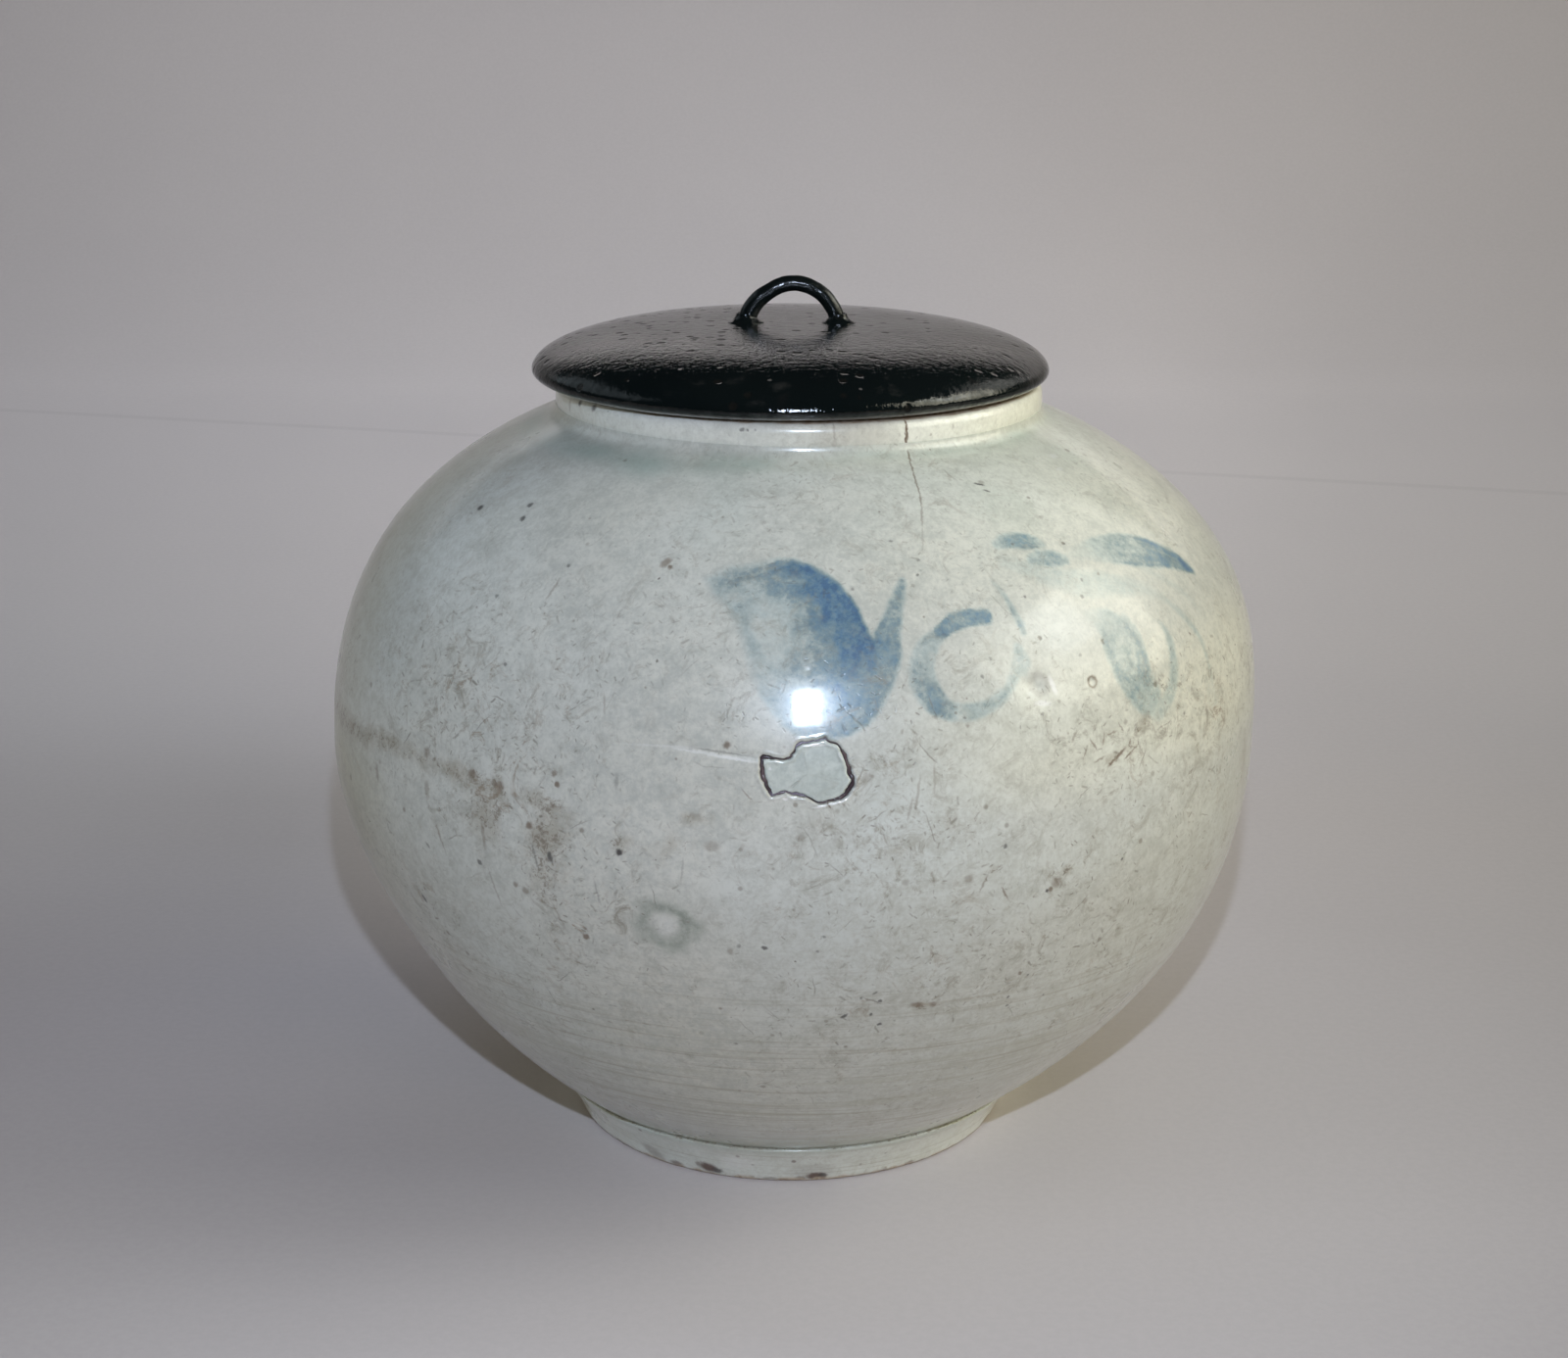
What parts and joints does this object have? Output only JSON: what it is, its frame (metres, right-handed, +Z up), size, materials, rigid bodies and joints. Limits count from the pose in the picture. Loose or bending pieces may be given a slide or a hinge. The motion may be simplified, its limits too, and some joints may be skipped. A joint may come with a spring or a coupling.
{
  "type": "moon jar",
  "caption": "Round-bellied glazed porcelain storage jar on a low foot ring, with a lift-off turned lacquered wooden lid and an upright loop handle.",
  "frame": {"origin": "on the table, under the middle of the belly", "axes": "+Z up, -Y towards the viewer (the side with the brushwork and the repaired spot), +X to the viewer's right"},
  "size_m": [0.2398, 0.2398, 0.2238],
  "materials": {
    "glaze_lower_bowl": "glossy celadon-white glaze with kiln specks and old stains",
    "glaze_foot": "glossy bluish-white glaze, worn and chipped at the standing edge",
    "glaze_upper_bowl": "glossy celadon-white glaze over blue brushwork",
    "glaze_neck": "glossy cream-white glaze",
    "luting_clay": "bare fired porcelain clay",
    "glaze_sherd": "glossy celadon-white glaze",
    "repair_lacquer": "dark purple-brown lacquer",
    "lid_lacquer": "high-gloss black lacquer on turned wood",
    "lid_ring_lacquer": "satin black lacquer on turned wood",
    "handle_lacquer": "high-gloss black lacquer on bent wood",
    "putty_lacquer": "black lacquer putty of lacquer and wood dust"
  },
  "bodies": {
    "jar": {"lower_bowl": "glaze_lower_bowl", "foot_ring": "glaze_foot", "upper_bowl": "glaze_upper_bowl", "neck_collar": "glaze_neck", "luting_coil": "luting_clay", "repair_sherd": "glaze_sherd", "repair_lacquer_line": "repair_lacquer"},
    "lid": {"lid_board": "lid_lacquer", "lid_inner_ring": "lid_ring_lacquer", "handle_loop": "handle_lacquer", "handle_putty_left": "putty_lacquer", "handle_putty_right": "putty_lacquer"}
  },
  "joints": [
    {"name": "lid_lift", "type": "slide", "parent": "jar", "child": "lid", "axis": [0, 0, 1], "range_m": [0, 0.15]}
  ]
}
